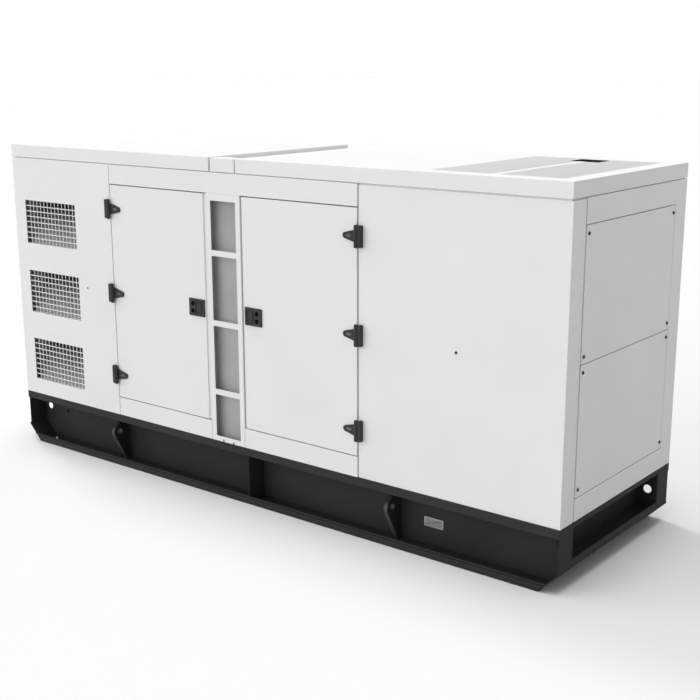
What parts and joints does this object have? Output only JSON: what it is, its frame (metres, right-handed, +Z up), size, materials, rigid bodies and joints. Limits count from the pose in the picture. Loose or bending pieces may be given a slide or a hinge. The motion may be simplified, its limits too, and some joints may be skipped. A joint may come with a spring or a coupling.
{
  "type": "canopied diesel generator set",
  "caption": "Sound-proof diesel generator: white panelled canopy with hinged service doors, side grilles and roof outlets on a dark welded skid with lifting eyes.",
  "frame": {"origin": "on the floor under the middle of the set", "axes": "+X along the length, towards the roof outlets; the front long side faces -Y; +Z up"},
  "size_m": [4.21, 1.364, 2.07],
  "materials": {
    "white_paint": "satin powder coat",
    "skid_paint": "satin black paint",
    "black_cast": "textured black coat",
    "grille_paint": "satin powder coat",
    "exhaust_steel": "heat-proof black",
    "bare_plate": "brushed",
    "machine_paint": "satin grey",
    "radiator_paint": "matt black"
  },
  "bodies": {
    "canopy": {"front_web": "skid_paint", "front_top_rail": "skid_paint", "front_bottom_rail": "skid_paint", "front_stiffeners": "skid_paint", "front_lifting_lugs": "skid_paint", "rear_web": "skid_paint", "rear_top_rail": "skid_paint", "rear_bottom_rail": "skid_paint", "rear_stiffeners": "skid_paint", "rear_lifting_lugs": "skid_paint", "right_cross_channel": "skid_paint", "left_cross_channel": "skid_paint", "deck_plate": "skid_paint", "front_left_panel": "white_paint", "front_grilles": "grille_paint", "front_door_surround": "white_paint", "front_pillar": "white_paint", "front_right_panel": "white_paint", "rear_panels": "white_paint", "rear_grilles": "grille_paint", "rear_door_surround": "white_paint", "rear_pillar": "white_paint", "rear_doors": "white_paint", "intake_baffles": "white_paint", "front_hinge_leaves": "black_cast", "rear_hinges": "black_cast", "rear_latches": "black_cast", "right_end_frame": "white_paint", "right_end_panels": "white_paint", "left_end_frame": "white_paint", "left_end_panels": "white_paint", "roof_left": "white_paint", "roof_right": "white_paint", "roof_bridge": "white_paint", "roof_mesh": "grille_paint", "exhaust_outlet": "exhaust_steel", "rating_plate": "bare_plate", "alternator": "machine_paint", "engine": "machine_paint", "radiator": "radiator_paint", "fan": "radiator_paint"},
    "left_door": {"front_left_door": "white_paint", "front_left_tongues": "black_cast", "front_left_latch": "black_cast"},
    "right_door": {"front_right_door": "white_paint", "front_right_tongues": "black_cast", "front_right_latch": "black_cast"}
  },
  "joints": [
    {"name": "left_door_hinge", "type": "hinge", "parent": "canopy", "child": "left_door", "pos_m": [-1.131, -0.67, 1.1685], "axis": [0, 0, -1], "range_deg": [0, 120]},
    {"name": "right_door_hinge", "type": "hinge", "parent": "canopy", "child": "right_door", "pos_m": [0.846, -0.67, 1.1685], "axis": [0, 0, 1], "range_deg": [0, 120]}
  ]
}
